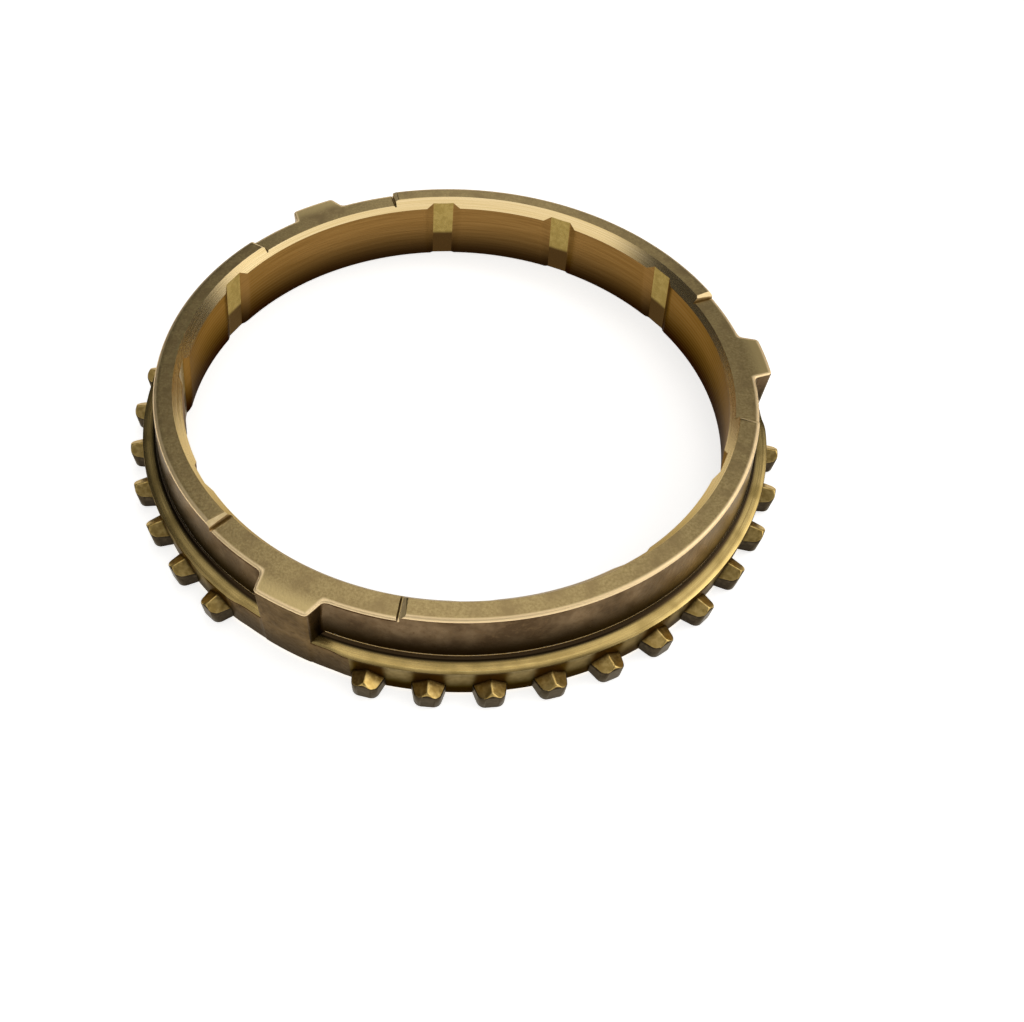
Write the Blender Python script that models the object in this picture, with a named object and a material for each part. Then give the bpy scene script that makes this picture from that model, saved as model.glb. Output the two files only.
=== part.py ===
"""Synchronizer ring: one brass blocker ring with index lugs, roof teeth and a grooved friction cone.

Metres, +Z up. The origin is on the ring's axis, in the plane of the gear-side face, which is the
underside. +X runs through the middle of one index lug.
"""

from math import asin, atan2, cos, floor, pi, radians, sin, sqrt, tan

import bmesh
import bpy
from mathutils import Matrix, Vector

# Driving dimensions: the bore, from the gear side up
CONE_MOUTH_RADIUS = 0.0357
CONE_HALF_ANGLE = radians(10.0)
CONE_CHAMFER = 0.0003
BEVEL_RISE = 0.0014
BEVEL_WIDTH = 0.0009

# Driving dimensions: the wall and the flange, from the bore outwards
TOP_LAND_WIDTH = 0.00232
TOP_EDGE_ROUND = 0.0004
WALL_HEIGHT = 0.0060
WALL_DRAFT = radians(9.5)
RELIEF_RADIUS = 0.0006
LEDGE_WIDTH = 0.0013
LEDGE_SLOPE = radians(3.0)
LEDGE_CHAMFER = 0.0002
FLANGE_HEIGHT = 0.0046
FLANGE_FOOT_CHAMFER = 0.0002

# Driving dimensions: how far above the underside the teeth and lugs start
FOOT_HEIGHT = 0.0003

# Driving dimensions: the spline teeth
SPLINE_POSITIONS = 39
MISSING_TOOTH_COUNT = 2
TOOTH_HEIGHT = 0.0019
TOOTH_TIP_WIDTH = 0.0026
TOOTH_FLANK_ANGLE = radians(16.0)
TOOTH_CORNER_RADIUS = 0.0009
TOOTH_RIDGE_DROP = 0.0014
TOOTH_ROOF_HALF_ANGLE = radians(57.0)
TOOTH_TIP_CHAMFER = 0.00035

# Driving dimensions: the index lugs and the lowered seats round them
LUG_COUNT = 3
LUG_FACE_WIDTH = 0.0064
LUG_FLANK_ANGLE = radians(15.0)
LUG_CORNER_RADIUS = 0.0006
LUG_ROOT_RADIUS = 0.0006
LUG_ROOT_DIP = radians(12.0)
LUG_DRAFT = radians(2.6)
SEAT_DROP = 0.00065
SEAT_HALF_ANGLE = radians(18.1)
SEAT_CHAMFER_DEPTH = 0.00035
SEAT_CHAMFER_TAPER = radians(9.1)
SEAT_CHAMFER_LEAD = 0.0014
SEAT_NOTCH_FLOOR = 0.0002
SEAT_NOTCH_DEPTH = 0.0002
PAD_SETBACK = 0.0001
PAD_TO_TOOTH = radians(0.9)
PAD_END_RAMP = radians(2.2)

# Driving dimensions: the axial oil grooves in the cone
GROOVE_POSITIONS = 12
GROOVE_FLOOR_WIDTH = 0.0030
GROOVE_WALL_RUN = 0.00085
GROOVE_DEPTH = 0.0005

# How finely the turned and rounded shapes are divided, and how far cutters run past the metal
STEPS_PER_TOOTH = 4
ROUND_STEPS = 3
OVERRUN = 0.0010

# Radii and heights that follow from the driving dimensions
RING_HEIGHT = FLANGE_HEIGHT + WALL_HEIGHT
THROAT_HEIGHT = RING_HEIGHT - BEVEL_RISE
THROAT_RADIUS = CONE_MOUTH_RADIUS - THROAT_HEIGHT * tan(CONE_HALF_ANGLE)
TOP_INNER_RADIUS = THROAT_RADIUS + BEVEL_WIDTH
WALL_TOP_RADIUS = TOP_INNER_RADIUS + TOP_LAND_WIDTH
RELIEF_TOP = FLANGE_HEIGHT + RELIEF_RADIUS
WALL_FOOT_RADIUS = WALL_TOP_RADIUS + (RING_HEIGHT - RELIEF_TOP) * tan(WALL_DRAFT)
LEDGE_INNER_RADIUS = WALL_FOOT_RADIUS + RELIEF_RADIUS
FLANGE_RADIUS = LEDGE_INNER_RADIUS + LEDGE_WIDTH
TOOTH_TIP_RADIUS = FLANGE_RADIUS + TOOTH_HEIGHT
SEAT_HEIGHT = RING_HEIGHT - SEAT_DROP
SEAT_CHAMFER_START = (THROAT_RADIUS - SEAT_CHAMFER_LEAD) * cos(SEAT_HALF_ANGLE)
SPLINE_PITCH = 2 * pi / SPLINE_POSITIONS
LUG_PITCH = 2 * pi / LUG_COUNT
GROOVE_PITCH = 2 * pi / GROOVE_POSITIONS
FIRST_TOOTH_ANGLE = SPLINE_PITCH * (MISSING_TOOTH_COUNT + 1) / 2
TOOTH_HALF_ANGLE = asin((TOOTH_TIP_WIDTH / 2 + TOOTH_HEIGHT * tan(TOOTH_FLANK_ANGLE)) / FLANGE_RADIUS)
PAD_HALF_ANGLE = FIRST_TOOTH_ANGLE - TOOTH_HALF_ANGLE - PAD_TO_TOOTH


def clear_scene():
    for item in list(bpy.data.objects):
        bpy.data.objects.remove(item, do_unlink=True)


def brass():
    material = bpy.data.materials.new("brass")
    material.use_nodes = True
    shader = material.node_tree.nodes["Principled BSDF"]
    shader.inputs["Base Color"].default_value = (0.45, 0.33, 0.15, 1.0)
    shader.inputs["Roughness"].default_value = 0.42
    shader.inputs["Metallic"].default_value = 1.0
    return material


def arc(centre, radius, start, stop, steps):
    """Points of a round in the section plane, from the start angle to the stop angle."""
    points = []
    for step in range(steps + 1):
        angle = start + (stop - start) * step / steps
        points.append((centre[0] + radius * cos(angle), centre[1] + radius * sin(angle)))
    return points


def angle_to_lug(angle):
    """The angle from a direction to the middle of the nearest lug."""
    return min(abs(angle - LUG_PITCH * lug) for lug in range(LUG_COUNT + 1))


def body_section(angle):
    """The ring's section as (radius, height), down the outside and up the cone.

    Either side of a lug the flange has no teeth: there it is set back and takes the lug's draft.
    """
    round_centre = (WALL_TOP_RADIUS - TOP_EDGE_ROUND, RING_HEIGHT - TOP_EDGE_ROUND)
    relief_centre = (LEDGE_INNER_RADIUS, RELIEF_TOP)
    pad_share = min(1.0, max(0.0, (PAD_HALF_ANGLE - angle_to_lug(angle)) / PAD_END_RAMP))
    ledge_drop = LEDGE_WIDTH * tan(LEDGE_SLOPE)
    flange = [
        (FLANGE_RADIUS - LEDGE_CHAMFER, FLANGE_HEIGHT - ledge_drop),
        (FLANGE_RADIUS, FLANGE_HEIGHT - ledge_drop - LEDGE_CHAMFER),
        (FLANGE_RADIUS, FLANGE_FOOT_CHAMFER),
        (FLANGE_RADIUS - FLANGE_FOOT_CHAMFER, 0.0),
    ]
    section = [(TOP_INNER_RADIUS, RING_HEIGHT)]
    section += arc(round_centre, TOP_EDGE_ROUND, pi / 2, WALL_DRAFT, ROUND_STEPS)
    section += arc(relief_centre, RELIEF_RADIUS, pi, 3 * pi / 2, ROUND_STEPS)
    for radius, height in flange:
        section.append((radius - pad_share * (PAD_SETBACK + height * tan(LUG_DRAFT)), height))
    section += [
        (CONE_MOUTH_RADIUS + CONE_CHAMFER, 0.0),
        (CONE_MOUTH_RADIUS - CONE_CHAMFER * tan(CONE_HALF_ANGLE), CONE_CHAMFER),
        (THROAT_RADIUS, THROAT_HEIGHT),
    ]
    return section


def new_object(name, mesh_maker):
    """An object from a function that fills a bmesh, with its faces turned outwards."""
    mesh = bpy.data.meshes.new(name)
    bm = bmesh.new()
    mesh_maker(bm)
    bmesh.ops.recalc_face_normals(bm, faces=bm.faces)
    bm.to_mesh(mesh)
    bm.free()
    item = bpy.data.objects.new(name, mesh)
    bpy.context.scene.collection.objects.link(item)
    return item


def loft(bm, sections):
    """A closed solid through sections of equal point count, with flat ends."""
    rings = [[bm.verts.new(point) for point in section] for section in sections]
    count = len(rings[0])
    for low, high in zip(rings, rings[1:]):
        for i in range(count):
            bm.faces.new((low[i - 1], low[i], high[i], high[i - 1]))
    bm.faces.new(rings[0])
    bm.faces.new(rings[-1])


def add_body(bm):
    """The turned body, closed from section to section all the way round."""
    steps = STEPS_PER_TOOTH * SPLINE_POSITIONS
    rings = []
    for step in range(steps):
        angle = 2 * pi * (step + 0.5) / steps
        turned = Matrix.Rotation(angle, 4, "Z")
        section = [turned @ Vector((radius, 0.0, height)) for radius, height in body_section(angle)]
        rings.append([bm.verts.new(point) for point in section])
    for ring, following in zip(rings, rings[1:] + rings[:1]):
        for i in range(len(ring)):
            bm.faces.new((ring[i - 1], ring[i], following[i], following[i - 1]))


def lug_angles():
    return [LUG_PITCH * lug for lug in range(LUG_COUNT)]


def tooth_angles():
    """The spline positions that carry a tooth: those at the lugs are left out."""
    per_sector = int(floor(SPLINE_POSITIONS / LUG_COUNT)) - MISSING_TOOTH_COUNT
    first_angles = [lug + FIRST_TOOTH_ANGLE for lug in lug_angles()]
    return [first + SPLINE_PITCH * tooth for first in first_angles for tooth in range(per_sector)]


def groove_angles():
    """The groove positions, without those that lie behind a lug."""
    angles = [GROOVE_PITCH * position for position in range(GROOVE_POSITIONS)]
    return [angle for angle in angles if angle_to_lug(angle) > GROOVE_PITCH / 2]


def tooth_outline():
    """A tooth on +X seen from above: tapered flanks and a tip with rounded corners."""
    root_radius = FLANGE_RADIUS - LEDGE_WIDTH
    half_tip = TOOTH_TIP_WIDTH / 2
    half_root = half_tip + (TOOTH_TIP_RADIUS - root_radius) * tan(TOOTH_FLANK_ANGLE)
    return rounded([
        (root_radius, -half_root, 0.0),
        (TOOTH_TIP_RADIUS, -half_tip, TOOTH_CORNER_RADIUS),
        (TOOTH_TIP_RADIUS, half_tip, TOOTH_CORNER_RADIUS),
        (root_radius, half_root, 0.0),
    ])


def cut_away(bm, point, normal):
    """Cuts a convex solid off at a plane and closes it again."""
    cut = bmesh.ops.bisect_plane(
        bm,
        geom=bm.verts[:] + bm.edges[:] + bm.faces[:],
        plane_co=point,
        plane_no=normal,
        clear_outer=True,
    )
    rim = [part for part in cut["geom_cut"] if isinstance(part, bmesh.types.BMEdge)]
    bmesh.ops.contextual_create(bm, geom=rim)


def add_tooth(bm):
    """One tooth on +X: a tongue with a two-sided roof and a chamfered tip, rooted in the flange."""
    ridge_height = FLANGE_HEIGHT - TOOTH_RIDGE_DROP
    outline = tooth_outline()
    loft(bm, [[(x, y, height) for x, y in outline] for height in (FOOT_HEIGHT, ridge_height + OVERRUN)])
    for side in (-1, 1):
        normal = (0.0, side * cos(TOOTH_ROOF_HALF_ANGLE), sin(TOOTH_ROOF_HALF_ANGLE))
        cut_away(bm, (TOOTH_TIP_RADIUS, 0.0, ridge_height), normal)
    cut_away(bm, (TOOTH_TIP_RADIUS - TOOTH_TIP_CHAMFER, 0.0, ridge_height), (1.0, 0.0, 1.0))


def add_teeth(bm):
    for angle in tooth_angles():
        tooth = bmesh.new()
        add_tooth(tooth)
        tooth.transform(Matrix.Rotation(angle, 4, "Z"))
        copy_into(bm, tooth)


def copy_into(bm, source):
    twins = {vert: bm.verts.new(vert.co) for vert in source.verts}
    for face in source.faces:
        bm.faces.new([twins[vert] for vert in face.verts])
    source.free()


def rounded(corners):
    """A closed outline with its corners rounded; corners are (x, y, rounding radius)."""
    points = []
    for i, (x, y, radius) in enumerate(corners):
        here = Vector((x, y))
        if radius == 0.0:
            points.append(here)
            continue
        before = (Vector(corners[i - 1][:2]) - here).normalized()
        after = (Vector(corners[(i + 1) % len(corners)][:2]) - here).normalized()
        half = before.angle(after) / 2
        centre = here + (before + after).normalized() * (radius / sin(half))
        first = here + before * (radius / tan(half)) - centre
        last = here + after * (radius / tan(half)) - centre
        start = atan2(first.y, first.x)
        sweep = atan2(first.cross(last), first.dot(last))
        for step in range(ROUND_STEPS + 1):
            angle = start + sweep * step / ROUND_STEPS
            points.append(centre + Vector((cos(angle), sin(angle))) * radius)
    return points


def lug_root(edge, wall_radius):
    """Corners from the edge of a lug's face to inside the wall.

    The first is rounded, where the flank turns along the wall and sinks into it.
    """
    flank = Vector((-cos(LUG_FLANK_ANGLE), sin(LUG_FLANK_ANGLE)))
    half_turn = (pi / 2 + LUG_FLANK_ANGLE + LUG_ROOT_DIP) / 2
    corner_radius = wall_radius + LUG_ROOT_RADIUS / tan(half_turn) * sin(LUG_ROOT_DIP)
    inward = -edge.dot(flank)
    corner = edge + flank * (inward - sqrt(inward ** 2 - edge.length_squared + corner_radius ** 2))
    outward = corner.normalized()
    sideways = Vector((-outward.y, outward.x))
    sinking = sideways * cos(LUG_ROOT_DIP) - outward * sin(LUG_ROOT_DIP)
    sunk = corner + sinking * 2 * LUG_ROOT_RADIUS
    inner = sunk * ((TOP_INNER_RADIUS + WALL_TOP_RADIUS) / 2 / sunk.length)
    return [(corner.x, corner.y, LUG_ROOT_RADIUS), (sunk.x, sunk.y, 0.0), (inner.x, inner.y, 0.0)]


def lug_outline(height):
    """The outline of a lug on +X at one height: tapered flanks with rounded roots, and a curved face."""
    wall_radius = WALL_TOP_RADIUS + (RING_HEIGHT - height) * tan(WALL_DRAFT)
    face_radius = FLANGE_RADIUS - height * tan(LUG_DRAFT)
    half_angle = asin(LUG_FACE_WIDTH / 2 / face_radius)
    face = arc((0.0, 0.0), face_radius, -half_angle, half_angle, ROUND_STEPS + 1)
    root = lug_root(Vector(face[-1]), wall_radius)
    corners = [(x, -y, radius) for x, y, radius in reversed(root)]
    corners += [(x, y, LUG_CORNER_RADIUS if (x, y) in (face[0], face[-1]) else 0.0) for x, y in face]
    return rounded(corners + root)


def add_lugs(bm):
    """Lugs with a drafted outer face, from the foot of the flange to just past the top."""
    for angle in lug_angles():
        turned = Matrix.Rotation(angle, 4, "Z")
        sections = []
        for height in (FOOT_HEIGHT, RING_HEIGHT + OVERRUN / 2):
            outline = lug_outline(height)
            sections.append([turned @ Vector((point.x, point.y, height)) for point in outline])
        loft(bm, sections)


def seat_half_section(distance):
    """Half of a seat's section, this far out along the lug's middle: floor, notch, step and chamfer."""
    half_width = distance * tan(SEAT_HALF_ANGLE)
    notch_start = half_width - SEAT_NOTCH_FLOOR - SEAT_NOTCH_DEPTH
    to_wall = WALL_TOP_RADIUS * cos(SEAT_HALF_ANGLE) - SEAT_CHAMFER_START
    depth = SEAT_CHAMFER_DEPTH * (distance - SEAT_CHAMFER_START) / to_wall
    chamfer_slope = to_wall * tan(SEAT_CHAMFER_TAPER) / SEAT_CHAMFER_DEPTH
    return [
        (notch_start, SEAT_HEIGHT),
        (notch_start + SEAT_NOTCH_DEPTH, SEAT_HEIGHT - SEAT_NOTCH_DEPTH),
        (half_width, SEAT_HEIGHT - SEAT_NOTCH_DEPTH),
        (half_width, RING_HEIGHT - depth),
        (half_width + (depth + OVERRUN) * chamfer_slope, RING_HEIGHT + OVERRUN),
    ]


def add_seat_cutters(bm):
    """The top is lowered to a flat seat for some way each side of a lug, up to a radial step.

    The chamfer above the step is one plane that gets wider and deeper outwards.
    """
    for angle in lug_angles():
        turned = Matrix.Rotation(angle, 4, "Z")
        sections = []
        for distance in (SEAT_CHAMFER_START, FLANGE_RADIUS):
            half = seat_half_section(distance)
            corners = half + [(-across, height) for across, height in reversed(half)]
            sections.append([turned @ Vector((distance, across, up)) for across, up in corners])
        loft(bm, sections)


def add_groove_cutters(bm):
    """Shallow axial channels with sloping walls, whose floors run parallel to the cone."""
    slope = tan(CONE_HALF_ANGLE)
    wall_slope = GROOVE_WALL_RUN / GROOVE_DEPTH
    reach = GROOVE_DEPTH + OVERRUN
    for angle in groove_angles():
        turned = Matrix.Rotation(angle, 4, "Z")
        sections = []
        for height in (-OVERRUN, RING_HEIGHT + OVERRUN):
            floor_radius = CONE_MOUTH_RADIUS - height * slope + GROOVE_DEPTH
            half_floor = GROOVE_FLOOR_WIDTH / 2
            half_mouth = half_floor + reach * wall_slope
            corners = [
                (floor_radius, -half_floor, height),
                (floor_radius, half_floor, height),
                (floor_radius - reach, half_mouth, height),
                (floor_radius - reach, -half_mouth, height),
            ]
            sections.append([turned @ Vector(corner) for corner in corners])
        loft(bm, sections)


def add_tool(target, name, mesh_maker, operation):
    """A hidden helper solid that is joined to the target or cut out of it."""
    tool = new_object(name, mesh_maker)
    tool.display_type = "WIRE"
    tool.hide_render = True
    tool.hide_set(True)
    step = target.modifiers.new(name, "BOOLEAN")
    step.operation = operation
    step.solver = "EXACT"
    step.object = tool


def build_ring():
    ring = new_object("synchronizer_ring", add_body)
    ring.data.materials.append(brass())
    ring.data.shade_smooth()
    ring.data.set_sharp_from_angle(angle=radians(25.0))
    add_tool(ring, "lug_blanks", add_lugs, "UNION")
    add_tool(ring, "tooth_blanks", add_teeth, "UNION")
    add_tool(ring, "seat_cutters", add_seat_cutters, "DIFFERENCE")
    add_tool(ring, "groove_cutters", add_groove_cutters, "DIFFERENCE")


clear_scene()
build_ring()
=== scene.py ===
"""The dressed synchronizer ring: a fine mesh, its brass finish, a pale studio and the photo's camera."""

from math import asin, atan2, cos, hypot, pi, radians, sin, sqrt, tan

import bmesh
import bpy
from mathutils import Matrix, Vector


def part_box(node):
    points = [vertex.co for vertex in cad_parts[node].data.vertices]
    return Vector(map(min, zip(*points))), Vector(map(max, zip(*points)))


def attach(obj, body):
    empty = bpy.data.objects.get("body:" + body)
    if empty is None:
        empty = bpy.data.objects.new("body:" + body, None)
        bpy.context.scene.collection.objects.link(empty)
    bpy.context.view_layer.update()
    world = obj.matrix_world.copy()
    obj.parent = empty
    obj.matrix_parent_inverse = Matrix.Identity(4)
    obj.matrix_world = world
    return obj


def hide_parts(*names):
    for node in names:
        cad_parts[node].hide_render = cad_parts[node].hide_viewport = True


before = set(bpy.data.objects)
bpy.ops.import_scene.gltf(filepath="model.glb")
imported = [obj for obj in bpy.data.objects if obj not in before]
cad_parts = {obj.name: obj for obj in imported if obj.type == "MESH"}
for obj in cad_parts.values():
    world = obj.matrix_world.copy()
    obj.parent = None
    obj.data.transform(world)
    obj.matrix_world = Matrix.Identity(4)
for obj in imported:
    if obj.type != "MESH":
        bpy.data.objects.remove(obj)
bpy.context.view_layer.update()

NODE = "synchronizer_ring"
RING_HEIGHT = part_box(NODE)[1].z

# The bore, from the gear side up
CONE_MOUTH_RADIUS = 0.0357
CONE_HALF_ANGLE = radians(10.0)
CONE_CHAMFER = 0.0003
BEVEL_RISE = 0.0014
BEVEL_WIDTH = 0.0009
THREAD_PITCH = 0.0006
THREAD_DEPTH = 0.00003
THREAD_ROWS = 84
THREAD_FADE_ROWS = 4

# The wall and the flange
TOP_LAND_WIDTH = 0.00232
TOP_EDGE_ROUND = 0.0004
WALL_DRAFT = radians(9.5)
RELIEF_RADIUS = 0.0006
LEDGE_WIDTH = 0.0013
LEDGE_SLOPE = radians(3.0)
LEDGE_CHAMFER = 0.00025
CHAMFER_BULGE = 0.3
FLANGE_HEIGHT = 0.0046
FLANGE_FOOT_CHAMFER = 0.0002
FOOT_HEIGHT = 0.0003

# The spline teeth
SPLINE_POSITIONS = 39
MISSING_TOOTH_COUNT = 2
TOOTH_HEIGHT = 0.0019
TOOTH_TIP_WIDTH = 0.0026
TOOTH_FLANK_ANGLE = radians(16.0)
TOOTH_CORNER_RADIUS = 0.0009
TOOTH_RIDGE_DROP = 0.0014
TOOTH_ROOF_HALF_ANGLE = radians(57.0)
TOOTH_TIP_CHAMFER = 0.00035
TOOTH_EDGE_ROUND = 0.00016

# The index lugs and the seats round them
LUG_COUNT = 3
LUG_FACE_WIDTH = 0.0064
LUG_FLANK_ANGLE = radians(15.0)
LUG_CORNER_RADIUS = 0.0006
LUG_ROOT_RADIUS = 0.0006
LUG_ROOT_DIP = radians(12.0)
LUG_DRAFT = radians(2.6)
SEAT_DROP = 0.00065
SEAT_HALF_ANGLE = radians(18.1)
SEAT_CHAMFER_DEPTH = 0.00035
SEAT_CHAMFER_TAPER = radians(9.1)
SEAT_CHAMFER_LEAD = 0.0014
SEAT_NOTCH_FLOOR = 0.0002
SEAT_NOTCH_DEPTH = 0.0002
SEAT_EDGE_ROUND = 0.00028
PAD_SETBACK = 0.0001
PAD_TO_TOOTH = radians(0.9)
PAD_END_RAMP = radians(2.2)

# The axial oil grooves
GROOVE_POSITIONS = 12
GROOVE_FLOOR_WIDTH = 0.0030
GROOVE_WALL_RUN = 0.00085
GROOVE_DEPTH = 0.0005

# How finely the mesh is divided, and how far cutters run past the metal
STEPS_PER_TOOTH = 8
ROUND_STEPS = 5
OVERRUN = 0.0010
TOOTH_SHARP_ANGLE = radians(28.0)
SMOOTH_BELOW_ANGLE = radians(35.0)
SMALLEST_EDGE = 0.000001

# What tells faces apart: a distance, and the upward part of a level and of a steep face's normal
FACE_MARGIN = 0.00005
LEVEL_NORMAL = 0.95
STEEP_NORMAL = 0.4
# How far outside the cone the bore's faces lie, and how far its thread's do
BORE_DEPTH = 0.0008
CREST_DEPTH = 0.00012
# How far a lug's face reaches past its pad in radians, and how far outside the ledge's inner edge it lies
PAD_MARGIN = 0.01
LUG_MARGIN = 0.0004

# Radii and heights that follow
THROAT_HEIGHT = RING_HEIGHT - BEVEL_RISE
THROAT_RADIUS = CONE_MOUTH_RADIUS - THROAT_HEIGHT * tan(CONE_HALF_ANGLE)
TOP_INNER_RADIUS = THROAT_RADIUS + BEVEL_WIDTH
WALL_TOP_RADIUS = TOP_INNER_RADIUS + TOP_LAND_WIDTH
RELIEF_TOP = FLANGE_HEIGHT + RELIEF_RADIUS
WALL_FOOT_RADIUS = WALL_TOP_RADIUS + (RING_HEIGHT - RELIEF_TOP) * tan(WALL_DRAFT)
LEDGE_INNER_RADIUS = WALL_FOOT_RADIUS + RELIEF_RADIUS
FLANGE_RADIUS = LEDGE_INNER_RADIUS + LEDGE_WIDTH
TOOTH_TIP_RADIUS = FLANGE_RADIUS + TOOTH_HEIGHT
SEAT_HEIGHT = RING_HEIGHT - SEAT_DROP
SEAT_CHAMFER_START = (THROAT_RADIUS - SEAT_CHAMFER_LEAD) * cos(SEAT_HALF_ANGLE)
SPLINE_PITCH = 2 * pi / SPLINE_POSITIONS
LUG_PITCH = 2 * pi / LUG_COUNT
GROOVE_PITCH = 2 * pi / GROOVE_POSITIONS
FIRST_TOOTH_ANGLE = SPLINE_PITCH * (MISSING_TOOTH_COUNT + 1) / 2
TOOTH_HALF_ANGLE = asin((TOOTH_TIP_WIDTH / 2 + TOOTH_HEIGHT * tan(TOOTH_FLANK_ANGLE)) / FLANGE_RADIUS)
PAD_HALF_ANGLE = FIRST_TOOTH_ANGLE - TOOTH_HALF_ANGLE - PAD_TO_TOOTH


def arc(centre, radius, start, stop, steps):
    """Points of a round in the section plane, from the start angle to the stop angle."""
    points = []
    for step in range(steps + 1):
        angle = start + (stop - start) * step / steps
        points.append((centre[0] + radius * cos(angle), centre[1] + radius * sin(angle)))
    return points


def rows(start, stop, count):
    """Points inside a straight stretch of the section, without its ends."""
    points = []
    for row in range(1, count):
        share = row / count
        points.append(tuple(a + (b - a) * share for a, b in zip(start, stop)))
    return points


def angle_to_lug(angle):
    """The angle from a direction to the middle of the nearest lug."""
    return min(abs(angle - LUG_PITCH * lug) for lug in range(LUG_COUNT + 1))


def cone_section(angle):
    """The friction cone from its mouth to its throat, with the crests of its fine oil thread."""
    points = []
    for row in range(THREAD_ROWS + 1):
        height = CONE_CHAMFER + (THROAT_HEIGHT - CONE_CHAMFER) * row / THREAD_ROWS
        turns = height / THREAD_PITCH - angle / (2 * pi)
        fade = min(1.0, row / THREAD_FADE_ROWS, (THREAD_ROWS - row) / THREAD_FADE_ROWS)
        groove = THREAD_DEPTH * fade * max(0.0, cos(2 * pi * turns)) ** 2
        points.append((CONE_MOUTH_RADIUS - height * tan(CONE_HALF_ANGLE) + groove, height))
    return points


def body_section(angle):
    """The ring's section as (radius, height), down the outside and up the cone."""
    top_round = (WALL_TOP_RADIUS - TOP_EDGE_ROUND, RING_HEIGHT - TOP_EDGE_ROUND)
    relief = (LEDGE_INNER_RADIUS, RELIEF_TOP)
    pad_share = min(1.0, max(0.0, (PAD_HALF_ANGLE - angle_to_lug(angle)) / PAD_END_RAMP))
    section = [(TOP_INNER_RADIUS, RING_HEIGHT)]
    section += rows(section[-1], (top_round[0], RING_HEIGHT), count=4)
    section += arc(top_round, TOP_EDGE_ROUND, pi / 2, WALL_DRAFT, ROUND_STEPS)
    section += rows(section[-1], (WALL_FOOT_RADIUS, RELIEF_TOP), count=6)
    section += arc(relief, RELIEF_RADIUS, pi, 3 * pi / 2, ROUND_STEPS)
    edge_height = FLANGE_HEIGHT - LEDGE_WIDTH * tan(LEDGE_SLOPE)
    section += rows(section[-1], (FLANGE_RADIUS - LEDGE_CHAMFER, edge_height), count=3)
    flange = [
        (FLANGE_RADIUS - LEDGE_CHAMFER, edge_height),
        (FLANGE_RADIUS - LEDGE_CHAMFER * CHAMFER_BULGE, edge_height - LEDGE_CHAMFER * CHAMFER_BULGE),
        (FLANGE_RADIUS, edge_height - LEDGE_CHAMFER),
    ]
    flange += rows(flange[-1], (FLANGE_RADIUS, FLANGE_FOOT_CHAMFER), count=5)
    flange += [
        (FLANGE_RADIUS, FLANGE_FOOT_CHAMFER),
        (FLANGE_RADIUS - FLANGE_FOOT_CHAMFER, 0.0),
    ]
    for radius, height in flange:
        section.append((radius - pad_share * (PAD_SETBACK + height * tan(LUG_DRAFT)), height))
    section += rows(section[-1], (CONE_MOUTH_RADIUS + CONE_CHAMFER, 0.0), count=3)
    section.append((CONE_MOUTH_RADIUS + CONE_CHAMFER, 0.0))
    section += cone_section(angle)
    section += rows(section[-1], (TOP_INNER_RADIUS, RING_HEIGHT), count=3)
    return section


def new_object(name, mesh_maker):
    """An object from a function that fills a bmesh, with its faces turned outwards."""
    mesh = bpy.data.meshes.new(name)
    bm = bmesh.new()
    mesh_maker(bm)
    bmesh.ops.recalc_face_normals(bm, faces=bm.faces)
    bm.to_mesh(mesh)
    bm.free()
    item = bpy.data.objects.new(name, mesh)
    bpy.context.scene.collection.objects.link(item)
    return item


def loft(bm, sections):
    """A closed solid through sections of equal point count, with flat ends."""
    rings = [[bm.verts.new(point) for point in section] for section in sections]
    count = len(rings[0])
    for low, high in zip(rings, rings[1:]):
        for i in range(count):
            bm.faces.new((low[i - 1], low[i], high[i], high[i - 1]))
    bm.faces.new(rings[0])
    bm.faces.new(rings[-1])


def add_body(bm):
    """The turned body, closed from section to section all the way round."""
    steps = STEPS_PER_TOOTH * SPLINE_POSITIONS
    rings = []
    for step in range(steps):
        angle = 2 * pi * (step + 0.5) / steps
        turned = Matrix.Rotation(angle, 4, "Z")
        section = [turned @ Vector((radius, 0.0, height)) for radius, height in body_section(angle)]
        rings.append([bm.verts.new(point) for point in section])
    for ring, following in zip(rings, rings[1:] + rings[:1]):
        for i in range(len(ring)):
            bm.faces.new((ring[i - 1], ring[i], following[i], following[i - 1]))


def lug_angles():
    return [LUG_PITCH * lug for lug in range(LUG_COUNT)]


def tooth_angles():
    """The spline positions that carry a tooth: those at the lugs are left out."""
    per_sector = SPLINE_POSITIONS // LUG_COUNT - MISSING_TOOTH_COUNT
    first_angles = [lug + FIRST_TOOTH_ANGLE for lug in lug_angles()]
    return [first + SPLINE_PITCH * tooth for first in first_angles for tooth in range(per_sector)]


def groove_angles():
    """The groove positions, without those that lie behind a lug."""
    angles = [GROOVE_PITCH * position for position in range(GROOVE_POSITIONS)]
    return [angle for angle in angles if angle_to_lug(angle) > GROOVE_PITCH / 2]


def tooth_outline():
    """A tooth on +X seen from above: tapered flanks and a tip with rounded corners."""
    root_radius = FLANGE_RADIUS - LEDGE_WIDTH
    half_tip = TOOTH_TIP_WIDTH / 2
    half_root = half_tip + (TOOTH_TIP_RADIUS - root_radius) * tan(TOOTH_FLANK_ANGLE)
    return rounded([
        (root_radius, -half_root, 0.0),
        (TOOTH_TIP_RADIUS, -half_tip, TOOTH_CORNER_RADIUS),
        (TOOTH_TIP_RADIUS, half_tip, TOOTH_CORNER_RADIUS),
        (root_radius, half_root, 0.0),
    ])


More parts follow.
